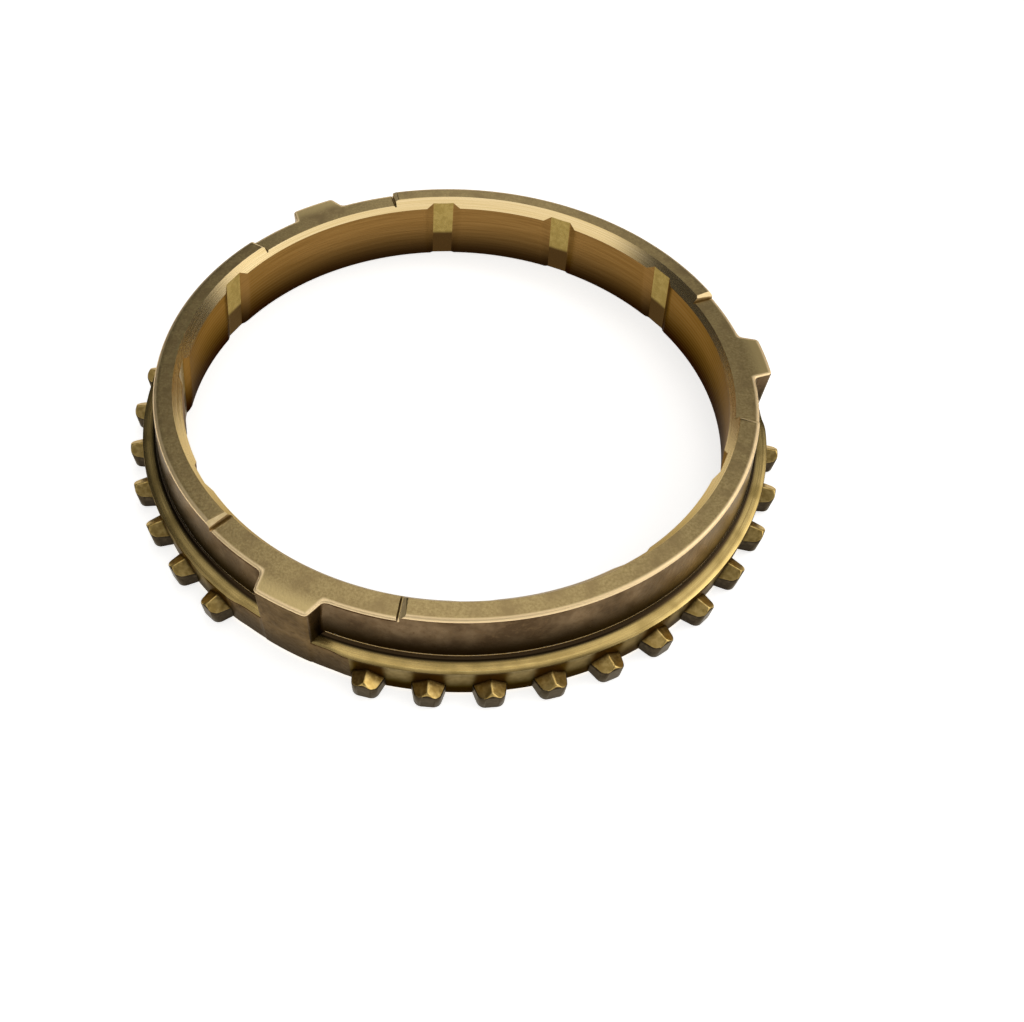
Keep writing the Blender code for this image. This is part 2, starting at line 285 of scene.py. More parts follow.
def cut_away(bm, point, normal):
    """Cuts a convex solid off at a plane and closes it again."""
    cut = bmesh.ops.bisect_plane(
        bm,
        geom=bm.verts[:] + bm.edges[:] + bm.faces[:],
        plane_co=point,
        plane_no=normal,
        clear_outer=True,
    )
    rim = [part for part in cut["geom_cut"] if isinstance(part, bmesh.types.BMEdge)]
    bmesh.ops.contextual_create(bm, geom=rim)


def sharp_edges(bm, angle):
    return [edge for edge in bm.edges if edge.is_manifold and edge.calc_face_angle() > angle]


def add_tooth(bm):
    """One tooth on +X: a tongue with a two-sided roof, rooted in the flange, its edges softened."""
    ridge_height = FLANGE_HEIGHT - TOOTH_RIDGE_DROP
    outline = tooth_outline()
    loft(bm, [[(x, y, height) for x, y in outline] for height in (FOOT_HEIGHT, ridge_height + OVERRUN)])
    for side in (-1, 1):
        normal = (0.0, side * cos(TOOTH_ROOF_HALF_ANGLE), sin(TOOTH_ROOF_HALF_ANGLE))
        cut_away(bm, (TOOTH_TIP_RADIUS, 0.0, ridge_height), normal)
    cut_away(bm, (TOOTH_TIP_RADIUS - TOOTH_TIP_CHAMFER, 0.0, ridge_height), (1.0, 0.0, 1.0))
    bmesh.ops.recalc_face_normals(bm, faces=bm.faces)
    bmesh.ops.bevel(
        bm,
        geom=sharp_edges(bm, TOOTH_SHARP_ANGLE),
        offset=TOOTH_EDGE_ROUND,
        offset_type="OFFSET",
        affect="EDGES",
        segments=2,
        profile=0.5,
        clamp_overlap=True,
    )
    bmesh.ops.dissolve_degenerate(bm, edges=bm.edges, dist=SMALLEST_EDGE)


def copy_into(bm, source):
    twins = {vert: bm.verts.new(vert.co) for vert in source.verts}
    for face in source.faces:
        bm.faces.new([twins[vert] for vert in face.verts])
    source.free()


def add_teeth(bm):
    for angle in tooth_angles():
        tooth = bmesh.new()
        add_tooth(tooth)
        tooth.transform(Matrix.Rotation(angle, 4, "Z"))
        copy_into(bm, tooth)


def rounded(corners):
    """A closed outline with its corners rounded; corners are (x, y, rounding radius)."""
    points = []
    for i, (x, y, radius) in enumerate(corners):
        here = Vector((x, y))
        if radius == 0.0:
            points.append(here)
            continue
        before = (Vector(corners[i - 1][:2]) - here).normalized()
        after = (Vector(corners[(i + 1) % len(corners)][:2]) - here).normalized()
        half = before.angle(after) / 2
        centre = here + (before + after).normalized() * (radius / sin(half))
        first = here + before * (radius / tan(half)) - centre
        last = here + after * (radius / tan(half)) - centre
        start = atan2(first.y, first.x)
        sweep = atan2(first.cross(last), first.dot(last))
        for step in range(ROUND_STEPS + 1):
            angle = start + sweep * step / ROUND_STEPS
            points.append(centre + Vector((cos(angle), sin(angle))) * radius)
    return points


def lug_root(edge, wall_radius):
    """Corners from the edge of a lug's face to inside the wall.

    The first is rounded, where the flank turns along the wall and sinks into it.
    """
    flank = Vector((-cos(LUG_FLANK_ANGLE), sin(LUG_FLANK_ANGLE)))
    half_turn = (pi / 2 + LUG_FLANK_ANGLE + LUG_ROOT_DIP) / 2
    corner_radius = wall_radius + LUG_ROOT_RADIUS / tan(half_turn) * sin(LUG_ROOT_DIP)
    inward = -edge.dot(flank)
    corner = edge + flank * (inward - sqrt(inward ** 2 - edge.length_squared + corner_radius ** 2))
    outward = corner.normalized()
    sideways = Vector((-outward.y, outward.x))
    sinking = sideways * cos(LUG_ROOT_DIP) - outward * sin(LUG_ROOT_DIP)
    sunk = corner + sinking * 2 * LUG_ROOT_RADIUS
    inner = sunk * ((TOP_INNER_RADIUS + WALL_TOP_RADIUS) / 2 / sunk.length)
    return [(corner.x, corner.y, LUG_ROOT_RADIUS), (sunk.x, sunk.y, 0.0), (inner.x, inner.y, 0.0)]


def lug_outline(height):
    """The outline of a lug on +X at one height: tapered flanks with rounded roots, and a curved face."""
    wall_radius = WALL_TOP_RADIUS + (RING_HEIGHT - height) * tan(WALL_DRAFT)
    face_radius = FLANGE_RADIUS - height * tan(LUG_DRAFT)
    half_angle = asin(LUG_FACE_WIDTH / 2 / face_radius)
    face = arc((0.0, 0.0), face_radius, -half_angle, half_angle, ROUND_STEPS + 1)
    root = lug_root(Vector(face[-1]), wall_radius)
    corners = [(x, -y, radius) for x, y, radius in reversed(root)]
    corners += [(x, y, LUG_CORNER_RADIUS if (x, y) in (face[0], face[-1]) else 0.0) for x, y in face]
    return rounded(corners + root)


def add_lugs(bm):
    """Lugs with a drafted outer face, from the foot of the flange to past the top."""
    for angle in lug_angles():
        turned = Matrix.Rotation(angle, 4, "Z")
        sections = []
        for height in (FOOT_HEIGHT, RING_HEIGHT + OVERRUN / 2):
            outline = lug_outline(height)
            sections.append([turned @ Vector((point.x, point.y, height)) for point in outline])
        loft(bm, sections)


def seat_half_section(distance):
    """Half of a seat's section, this far out along the lug's middle: floor, notch, step and chamfer."""
    half_width = distance * tan(SEAT_HALF_ANGLE)
    notch_start = half_width - SEAT_NOTCH_FLOOR - SEAT_NOTCH_DEPTH
    to_wall = WALL_TOP_RADIUS * cos(SEAT_HALF_ANGLE) - SEAT_CHAMFER_START
    depth = SEAT_CHAMFER_DEPTH * (distance - SEAT_CHAMFER_START) / to_wall
    chamfer_slope = to_wall * tan(SEAT_CHAMFER_TAPER) / SEAT_CHAMFER_DEPTH
    return [
        (notch_start, SEAT_HEIGHT),
        (notch_start + SEAT_NOTCH_DEPTH, SEAT_HEIGHT - SEAT_NOTCH_DEPTH),
        (half_width, SEAT_HEIGHT - SEAT_NOTCH_DEPTH),
        (half_width, RING_HEIGHT - depth),
        (half_width + (depth + OVERRUN) * chamfer_slope, RING_HEIGHT + OVERRUN),
    ]


def add_seat_cutters(bm):
    """The top is lowered to a flat seat for some way each side of a lug, up to a radial step.

    The chamfer above the step is one plane that gets wider and deeper outwards.
    """
    for angle in lug_angles():
        turned = Matrix.Rotation(angle, 4, "Z")
        sections = []
        for distance in (SEAT_CHAMFER_START, FLANGE_RADIUS):
            half = seat_half_section(distance)
            corners = half + [(-across, height) for across, height in reversed(half)]
            sections.append([turned @ Vector((distance, across, up)) for across, up in corners])
        loft(bm, sections)


def add_groove_cutters(bm):
    """Shallow axial channels with sloping walls, whose floors run parallel to the cone."""
    slope = tan(CONE_HALF_ANGLE)
    wall_slope = GROOVE_WALL_RUN / GROOVE_DEPTH
    reach = GROOVE_DEPTH + OVERRUN
    for angle in groove_angles():
        turned = Matrix.Rotation(angle, 4, "Z")
        sections = []
        for height in (-OVERRUN, RING_HEIGHT + OVERRUN):
            floor_radius = CONE_MOUTH_RADIUS - height * slope + GROOVE_DEPTH
            half_floor = GROOVE_FLOOR_WIDTH / 2
            half_mouth = half_floor + reach * wall_slope
            corners = [
                (floor_radius, -half_floor, height),
                (floor_radius, half_floor, height),
                (floor_radius - reach, half_mouth, height),
                (floor_radius - reach, -half_mouth, height),
            ]
            sections.append([turned @ Vector(corner) for corner in corners])
        loft(bm, sections)


def combine(target, name, mesh_maker, operation):
    """Joins a helper solid to the target or cuts it out, and keeps the result as its mesh."""
    tool = new_object(name, mesh_maker)
    step = target.modifiers.new(name, "BOOLEAN")
    step.operation = operation
    step.solver = "EXACT"
    step.object = tool
    apply_modifiers(target)
    bpy.data.objects.remove(tool, do_unlink=True)


def apply_modifiers(item):
    graph = bpy.context.evaluated_depsgraph_get()
    mesh = bpy.data.meshes.new_from_object(item.evaluated_get(graph))
    item.modifiers.clear()
    old = item.data
    item.data = mesh
    bpy.data.meshes.remove(old)


def seat_edges(bm):
    """The outer edges of the seats and lug tops, where a level face meets a steep one."""
    found = []
    for edge in bm.edges:
        if len(edge.link_faces) != 2:
            continue
        middle = (edge.verts[0].co + edge.verts[1].co) / 2
        outer = hypot(middle.x, middle.y) > (TOP_INNER_RADIUS + WALL_TOP_RADIUS) / 2
        if abs(middle.z - SEAT_HEIGHT) > FACE_MARGIN / 5 or not outer:
            continue
        slopes = sorted(abs(face.normal.z) for face in edge.link_faces)
        if slopes[0] < STEEP_NORMAL and slopes[1] > LEVEL_NORMAL:
            found.append(edge)
    return found


def round_seat_edges(item):
    bm = bmesh.new()
    bm.from_mesh(item.data)
    bmesh.ops.bevel(
        bm,
        geom=seat_edges(bm),
        offset=SEAT_EDGE_ROUND,
        offset_type="OFFSET",
        affect="EDGES",
        segments=3,
        profile=0.5,
        clamp_overlap=False,
    )
    bm.to_mesh(item.data)
    bm.free()


def build_ring():
    ring = new_object("ring", add_body)
    combine(ring, "lugs", add_lugs, "UNION")
    combine(ring, "teeth", add_teeth, "UNION")
    combine(ring, "seats", add_seat_cutters, "DIFFERENCE")
    round_seat_edges(ring)
    combine(ring, "grooves", add_groove_cutters, "DIFFERENCE")
    ring.data.shade_smooth()
    ring.data.set_sharp_from_angle(angle=SMOOTH_BELOW_ANGLE)
    weighted = ring.modifiers.new("face_weighted_normals", "WEIGHTED_NORMAL")
    weighted.keep_sharp = True
    return ring


# Where the finishes, their painted shade and their painted highlight change: heights over the gear side,
# radii, and the upward part of the normal
WALL_SHADE_HEIGHTS = (0.0056, 0.0095)
LUG_SHADE_HEIGHTS = (0.0000, 0.0056)
FLANGE_SHADE_HEIGHTS = (0.0012, 0.0038)
TOOTH_SIDE_SHADE_HEIGHTS = (0.0002, 0.0022)
CONE_SHADE_HEIGHTS = (0.0002, 0.0078)
GROOVE_SHADE_HEIGHTS = (0.0038, 0.0045)
STEP_SHADE_HEIGHTS = (SEAT_HEIGHT - 0.0001, SEAT_HEIGHT + 0.0003)
RELIEF_HIGHLIGHT_HEIGHTS = (RELIEF_TOP - 0.00018, RELIEF_TOP - 0.00008)
LUG_WEAR_RADII = (0.0368, 0.0388)
LEDGE_SHADE_RADII = (0.03858, 0.03900)
TOOTH_ROOT_SHADOW_RADII = (0.0400, 0.0404)
WALL_BROW_NORMALS = (0.22, 0.40)
LUG_BROW_NORMALS = (0.15, 0.35)
ROOF_NORMALS = (0.66, 0.80)

# The finishes' colours, painted shade and painted highlight among them
TOP_DARK = (0.250, 0.182, 0.080)
TOP_LIGHT = (0.375, 0.284, 0.128)
TOP_PATCH = (0.235, 0.168, 0.076)
LUG_TOP_WORN = (0.480, 0.365, 0.165)
RIM_WORN = (0.95, 0.73, 0.42)
WALL_DARK = (0.068, 0.040, 0.019)
WALL_LIGHT = (0.180, 0.120, 0.064)
WALL_SPOT = (0.120, 0.074, 0.036)
WALL_FOOT_SHADE = (0.014, 0.008, 0.003)
UNDER_RIM_SHADE = (0.050, 0.022, 0.007)
LUG_DARK = (0.100, 0.062, 0.026)
LUG_LIGHT = (0.170, 0.108, 0.046)
LUG_SPOT = (0.075, 0.046, 0.020)
LUG_FOOT_SHADE = (0.028, 0.017, 0.008)
LEDGE_DARK = (0.49, 0.35, 0.125)
LEDGE_LIGHT = (0.65, 0.48, 0.185)
LEDGE_PATCH = (0.38, 0.27, 0.090)
LEDGE_HOLLOW_SHADE = (0.036, 0.022, 0.010)
RELIEF_EDGE_HIGHLIGHT = (0.80, 0.70, 0.54)
FLANGE_DARK = (0.175, 0.132, 0.060)
FLANGE_LIGHT = (0.250, 0.192, 0.090)
FLANGE_SHADE = (0.045, 0.026, 0.009)
FLANGE_FOOT_SHADE = (0.006, 0.0035, 0.0015)
ROOF_DARK = (0.52, 0.350, 0.105)
ROOF_LIGHT = (0.72, 0.52, 0.190)
ROOF_ROOT_SHADOW = (0.120, 0.075, 0.024)
# the colours of the tooth tips and flanks: painted shade
SIDE_SHADE_DARK = (0.030, 0.022, 0.013)
SIDE_SHADE_LIGHT = (0.062, 0.046, 0.027)
SIDE_FOOT_SHADE = (0.022, 0.016, 0.011)
BEVEL_DARK = (0.76, 0.57, 0.27)
BEVEL_LIGHT = (0.88, 0.69, 0.38)
STEP_DARK = (0.80, 0.62, 0.32)
STEP_LIGHT = (0.90, 0.72, 0.42)
STEP_FOOT_SHADE = (0.300, 0.205, 0.080)
# the cone's colours: tarnished brass, darkened further as painted shade
CONE_DARK = (0.205, 0.108, 0.029)
CONE_LIGHT = (0.265, 0.146, 0.043)
CONE_MOUTH_SHADE = (0.020, 0.009, 0.003)
GROOVE_DARK = (0.285, 0.200, 0.055)
GROOVE_LIGHT = (0.360, 0.260, 0.080)
GROOVE_FOOT_SHADE = (0.070, 0.036, 0.010)

# Which part of a pattern's range, from 0 to 1, goes from the darker to the lighter colour
GRAIN_SPREAD = (0.35, 0.70)
LINE_SPREAD = (0.35, 0.65)
BROAD_SPREAD = (0.35, 0.68)

# Distances inside the outline over which the rim is worn, and how softly a lug's rim meets the ring's
RIM_WEAR = (0.00060, 0.00025)
LUG_ROOT_BLEND = 0.0005
# The span of the painted shade beside each tooth, in the space from a tooth's middle, at -1, to halfway
# between two teeth, at 1
TOOTH_SHADE = (-0.30, 0.70)
# The radius at which the turned lines have their stated length
LINE_RADIUS = 0.038


def node(tree, kind, inputs=None, **settings):
    """A shader node with its settings made and its inputs set or linked."""
    made = tree.nodes.new(kind)
    for name, value in settings.items():
        setattr(made, name, value)
    for key, value in (inputs or {}).items():
        if isinstance(value, bpy.types.NodeSocket):
            tree.links.new(value, made.inputs[key])
        else:
            made.inputs[key].default_value = value
    return made


def maths(tree, operation, *values):
    return node(tree, "ShaderNodeMath", dict(enumerate(values)), operation=operation).outputs[0]


def rough(tree, pattern, spread, least):
    """Roughness that rises from the least by the spread, as the pattern goes from 0 to 1."""
    return maths(tree, "MULTIPLY_ADD", pattern, spread, least)


def place(tree):
    """A point of the ring in metres."""
    return node(tree, "ShaderNodeTexCoord").outputs["Object"]


def angle_round(tree):
    """The angle of a point round the axis."""
    parts = node(tree, "ShaderNodeSeparateXYZ", {0: place(tree)})
    return maths(tree, "ARCTAN2", parts.outputs["Y"], parts.outputs["X"])


def around(tree):
    """A direction round the axis, the radius and the height of a point."""
    parts = node(tree, "ShaderNodeSeparateXYZ", {0: place(tree)})
    flat = node(tree, "ShaderNodeCombineXYZ", {"X": parts.outputs["X"], "Y": parts.outputs["Y"]}).outputs[0]
    length = node(tree, "ShaderNodeVectorMath", {0: flat}, operation="LENGTH").outputs["Value"]
    direction = node(tree, "ShaderNodeVectorMath", {0: flat}, operation="NORMALIZE").outputs[0]
    return direction, length, parts.outputs["Z"]


def turned_lines(tree, spacing, length):
    """Fine lines round the axis, as a lathe tool leaves them: spacing across, length along."""
    direction, radius, height = around(tree)
    inputs = {0: direction, "Scale": LINE_RADIUS / length}
    run = node(tree, "ShaderNodeVectorMath", inputs, operation="SCALE").outputs[0]
    across = maths(tree, "MULTIPLY", maths(tree, "ADD", radius, height), 1.0 / spacing)
    lift = node(tree, "ShaderNodeCombineXYZ", {"Z": across}).outputs[0]
    vector = node(tree, "ShaderNodeVectorMath", {0: run, 1: lift}, operation="ADD").outputs[0]
    return node(tree, "ShaderNodeTexNoise", {"Vector": vector, "Scale": 1.0, "Detail": 3.0}).outputs["Fac"]


def grain(tree, size, detail=4.0, roughness=0.55):
    """Mottling whose spots are about as wide as size."""
    inputs = {"Vector": place(tree), "Scale": 1.0 / size, "Detail": detail, "Roughness": roughness}
    return node(tree, "ShaderNodeTexNoise", inputs).outputs["Fac"]


def between(tree, value, low, high):
    """0 at low, 1 at high, and smoothly between them."""
    inputs = {"Value": value, "From Min": low, "From Max": high}
    return node(tree, "ShaderNodeMapRange", inputs, interpolation_type="SMOOTHSTEP").outputs["Result"]


def blend(tree, share, first, second):
    """A colour that goes from the first to the second as the share rises."""
    made = node(tree, "ShaderNodeMix", data_type="RGBA")
    for socket, value in ((made.inputs[0], share), (made.inputs[6], first), (made.inputs[7], second)):
        if isinstance(value, bpy.types.NodeSocket):
            tree.links.new(value, socket)
        else:
            socket.default_value = (*value, 1.0) if isinstance(value, tuple) else value
    return made.outputs[2]


def outline_distance(tree):
    """How far a point of the top lies inside the ring's outline, lugs included."""
    radius, height = around(tree)[1:]
    turned = maths(tree, "FLOORED_MODULO", maths(tree, "ADD", angle_round(tree), LUG_PITCH / 2), LUG_PITCH)
    local = maths(tree, "SUBTRACT", turned, LUG_PITCH / 2)
    along = maths(tree, "MULTIPLY", radius, maths(tree, "COSINE", local))
    across = maths(tree, "ABSOLUTE", maths(tree, "MULTIPLY", radius, maths(tree, "SINE", local)))
    face_radius = maths(tree, "MULTIPLY_ADD", height, -tan(LUG_DRAFT), FLANGE_RADIUS)
    to_face = maths(tree, "SUBTRACT", face_radius, radius)
    half_width = maths(tree, "SUBTRACT", face_radius, along)
    half_width = maths(tree, "MULTIPLY_ADD", half_width, tan(LUG_FLANK_ANGLE), LUG_FACE_WIDTH / 2)
    to_flank = maths(tree, "MULTIPLY", maths(tree, "SUBTRACT", half_width, across), cos(LUG_FLANK_ANGLE))
    wall_radius = maths(tree, "MULTIPLY_ADD", height, -tan(WALL_DRAFT), wall_radius_at_floor())
    to_wall = maths(tree, "SUBTRACT", wall_radius, radius)
    return maths(tree, "SMOOTH_MAX", to_wall, maths(tree, "MINIMUM", to_face, to_flank), LUG_ROOT_BLEND)


def wall_radius_at_floor():
    return WALL_TOP_RADIUS + RING_HEIGHT * tan(WALL_DRAFT)


def upward(tree):
    """How far the surface looks up: 1 on a level face, 0 on an upright one."""
    normal = node(tree, "ShaderNodeTexCoord").outputs["Normal"]
    return node(tree, "ShaderNodeSeparateXYZ", {0: normal}).outputs["Z"]


def relief(tree, height, distance):
    """The normal of a surface whose fine relief is this deep."""
    inputs = {"Height": height, "Distance": distance, "Strength": 1.0}
    return node(tree, "ShaderNodeBump", inputs).outputs["Normal"]


def metal(name, painter, edge_tint, turned):
    """A metal whose colour, roughness and normal come from the painter.

    The edge tint is its shine at a glancing view. A turned metal spreads its shine across the lines.
    """
    material = bpy.data.materials.new(name)
    material.use_nodes = True
    tree = material.node_tree
    shader = tree.nodes["Principled BSDF"]
    shader.inputs["Metallic"].default_value = 1.0
    shader.inputs["Specular Tint"].default_value = (*edge_tint, 1.0)
    if turned:
        shader.inputs["Anisotropic"].default_value = turned
        shader.inputs["Anisotropic Rotation"].default_value = 0.25
        tangent = node(tree, "ShaderNodeTangent", direction_type="RADIAL", axis="Z")
        tree.links.new(tangent.outputs[0], shader.inputs["Tangent"])
    colour, roughness, normal = painter(tree)
    tree.links.new(colour, shader.inputs["Base Color"])
    tree.links.new(roughness, shader.inputs["Roughness"])
    tree.links.new(normal, shader.inputs["Normal"])
    return material


def blasted_top(tree):
    """The top and the seats: matt, with a blasted forging's fine mottle, worn pale along the rim."""
    fine = grain(tree, size=0.00030, detail=3.0, roughness=0.65)
    broad = grain(tree, size=0.0022, detail=4.0)
    colour = blend(tree, between(tree, fine, 0.30, 0.72), TOP_DARK, TOP_LIGHT)
    colour = blend(tree, between(tree, broad, 0.42, 0.75), colour, TOP_PATCH)
    radius = around(tree)[1]
    colour = blend(tree, between(tree, radius, *LUG_WEAR_RADII), colour, LUG_TOP_WORN)
    worn = between(tree, outline_distance(tree), *RIM_WEAR)
    colour = blend(tree, worn, colour, RIM_WORN)
    roughness = rough(tree, fine, spread=0.16, least=0.26)
    roughness = rough(tree, worn, spread=0.12, least=roughness)
    return colour, roughness, relief(tree, fine, distance=0.00002)


def forged_wall(tree):
    """The wall's brown forging skin, with painted shade at its foot and just under the rim."""
    fine = grain(tree, size=0.0006)
    broad = grain(tree, size=0.0035, detail=3.0)
    height = around(tree)[2]
    skin = blend(tree, between(tree, broad, *BROAD_SPREAD), WALL_DARK, WALL_LIGHT)
    skin = blend(tree, between(tree, fine, 0.45, 0.75), skin, WALL_SPOT)
    # painted shade: the wall darkens towards its foot
    colour = blend(tree, between(tree, height, *WALL_SHADE_HEIGHTS), WALL_FOOT_SHADE, skin)
    # painted shade just under the rim, on the faces that tilt upwards
    colour = blend(tree, between(tree, upward(tree), *WALL_BROW_NORMALS), colour, UNDER_RIM_SHADE)
    roughness = rough(tree, fine, spread=0.16, least=0.22)
    return colour, roughness, relief(tree, fine, distance=0.00004)


def lug_skin(tree):
    """The faces of the lugs and of the flange beside them: a warm brown skin, with painted shade at the
    foot and just under the rim.
    """
    fine = grain(tree, size=0.0007)
    broad = grain(tree, size=0.0030, detail=3.0)
    height = around(tree)[2]
    skin = blend(tree, between(tree, broad, *BROAD_SPREAD), LUG_DARK, LUG_LIGHT)
    skin = blend(tree, between(tree, fine, 0.45, 0.78), skin, LUG_SPOT)
    # painted shade: the lug faces darken towards the foot
    colour = blend(tree, between(tree, height, *LUG_SHADE_HEIGHTS), LUG_FOOT_SHADE, skin)
    # painted shade just under the rim, on the faces that tilt upwards
    colour = blend(tree, between(tree, upward(tree), *LUG_BROW_NORMALS), colour, UNDER_RIM_SHADE)
    roughness = rough(tree, fine, spread=0.16, least=0.36)
    return colour, roughness, relief(tree, fine, distance=0.00005)


def machined(tree):
    """The ledge and the relief: turned brass, with painted shade in the hollow and a painted highlight
    along the relief's upper edge.
    """
    lines = turned_lines(tree, spacing=0.00016, length=0.012)
    broad = grain(tree, size=0.004, detail=2.0)
    radius, height = around(tree)[1:]
    bright = blend(tree, between(tree, lines, *LINE_SPREAD), LEDGE_DARK, LEDGE_LIGHT)
    bright = blend(tree, between(tree, broad, 0.42, 0.72), bright, LEDGE_PATCH)
    # painted shade in the hollow, at the inner edge of the ledge
    colour = blend(tree, between(tree, radius, *LEDGE_SHADE_RADII), LEDGE_HOLLOW_SHADE, bright)
    # painted highlight: a pale line along the relief's upper edge
    edge = between(tree, height, *RELIEF_HIGHLIGHT_HEIGHTS)
    colour = blend(tree, edge, colour, RELIEF_EDGE_HIGHLIGHT)
    roughness = rough(tree, lines, spread=0.08, least=0.22)
    return colour, roughness, relief(tree, lines, distance=0.000006)


def tooth_gap(tree):
    """-1 at the middle of each tooth and 1 halfway between two."""
    return maths(tree, "COSINE", maths(tree, "MULTIPLY", angle_round(tree), SPLINE_POSITIONS))


def flange_painted_shade(tree):
    """The flange between the teeth: brown, with painted shade beside each tooth and painted shade, almost
    black, at the foot.
    """
    fine = grain(tree, size=0.0006)
    height = around(tree)[2]
    skin = blend(tree, between(tree, fine, *GRAIN_SPREAD), FLANGE_DARK, FLANGE_LIGHT)
    # painted shade beside each tooth
    skin = blend(tree, between(tree, tooth_gap(tree), *TOOTH_SHADE), FLANGE_SHADE, skin)
    # painted shade towards the flange's foot, almost black
    colour = blend(tree, between(tree, height, *FLANGE_SHADE_HEIGHTS), FLANGE_FOOT_SHADE, skin)
    roughness = rough(tree, fine, spread=0.16, least=0.32)
    return colour, roughness, relief(tree, fine, distance=0.00002)


def spline_tooth(tree):
    """The teeth: bright roofs with a painted shadow where they leave the flange, and tips and flanks
    painted dark as shade, darker still at the foot.
    """
    fine = grain(tree, size=0.0005)
    radius, height = around(tree)[1:]
    roof = blend(tree, between(tree, fine, *GRAIN_SPREAD), ROOF_DARK, ROOF_LIGHT)
    # painted shadow where the roofs leave the flange
    roof = blend(tree, between(tree, radius, *TOOTH_ROOT_SHADOW_RADII), ROOF_ROOT_SHADOW, roof)
    # painted shade: the tips and flanks are given a dark colour, darker still towards the foot
    side = blend(tree, between(tree, fine, *GRAIN_SPREAD), SIDE_SHADE_DARK, SIDE_SHADE_LIGHT)
    side = blend(tree, between(tree, height, *TOOTH_SIDE_SHADE_HEIGHTS), SIDE_FOOT_SHADE, side)
    colour = blend(tree, between(tree, upward(tree), *ROOF_NORMALS), side, roof)
    roughness = rough(tree, fine, spread=0.16, least=0.24)
    return colour, roughness, relief(tree, fine, distance=0.00002)


def bright_bevel(tree):
    """The bevel over the cone, turned bright."""
    lines = turned_lines(tree, spacing=0.00014, length=0.016)
    colour = blend(tree, between(tree, lines, *LINE_SPREAD), BEVEL_DARK, BEVEL_LIGHT)
    roughness = rough(tree, lines, spread=0.10, least=0.18)
    return colour, roughness, relief(tree, lines, distance=0.000006)


def step_face(tree):
    """The faces of the seats' steps: satin, olive brown, with painted shade at their foot."""
    fine = grain(tree, size=0.0004)
    height = around(tree)[2]
    colour = blend(tree, between(tree, fine, *GRAIN_SPREAD), STEP_DARK, STEP_LIGHT)
    # painted shade at the foot of each step
    foot = between(tree, height, *STEP_SHADE_HEIGHTS)
    colour = blend(tree, foot, STEP_FOOT_SHADE, colour)
    roughness = rough(tree, fine, spread=0.12, least=0.46)
    return colour, roughness, relief(tree, fine, distance=0.00001)


def turned_cone(tree):
    """The friction cone: satin, tarnished brass darkened further as painted shade, with painted shade
    deepening towards its mouth.
    """
    lines = turned_lines(tree, spacing=0.00020, length=0.010)
    height = around(tree)[2]
    satin = blend(tree, between(tree, lines, 0.30, 0.70), CONE_DARK, CONE_LIGHT)
    # painted shade deepening towards the cone's mouth
    colour = blend(tree, between(tree, height, *CONE_SHADE_HEIGHTS), CONE_MOUTH_SHADE, satin)
    roughness = rough(tree, lines, spread=0.10, least=0.30)
    return colour, roughness, relief(tree, lines, distance=0.000006)


def smooth_groove(tree):
    """The oil grooves: smooth, with an olive tint and painted shade low down."""
    fine = grain(tree, size=0.0008)
    height = around(tree)[2]
    olive = blend(tree, between(tree, fine, *GRAIN_SPREAD), GROOVE_DARK, GROOVE_LIGHT)
    # painted shade on the grooves' floors below about 4 mm
    colour = blend(tree, between(tree, height, *GROOVE_SHADE_HEIGHTS), GROOVE_FOOT_SHADE, olive)
    roughness = rough(tree, fine, spread=0.10, least=0.22)
    return colour, roughness, relief(tree, fine, distance=0.00001)


# Each finish: its painter, its edge tint and how far its turned lines spread the shine
FINISHES = {
    "blasted_top": (blasted_top, (0.90, 0.86, 0.80), 0.0),
    "forged_wall": (forged_wall, (0.90, 0.82, 0.70), 0.0),
    "lug_skin": (lug_skin, (0.74, 0.68, 0.60), 0.0),
    "machined_brass": (machined, (1.00, 0.95, 0.85), 0.5),
    "flange_painted_shade": (flange_painted_shade, (0.60, 0.52, 0.42), 0.0),
    "spline_tooth": (spline_tooth, (0.75, 0.70, 0.62), 0.0),
    "bright_bevel": (bright_bevel, (0.30, 0.26, 0.20), 0.3),
    "step_face": (step_face, (0.90, 0.85, 0.75), 0.0),
    "turned_cone": (turned_cone, (0.46, 0.42, 0.37), 0.7),
    "smooth_groove": (smooth_groove, (0.72, 0.66, 0.56), 0.0),
}


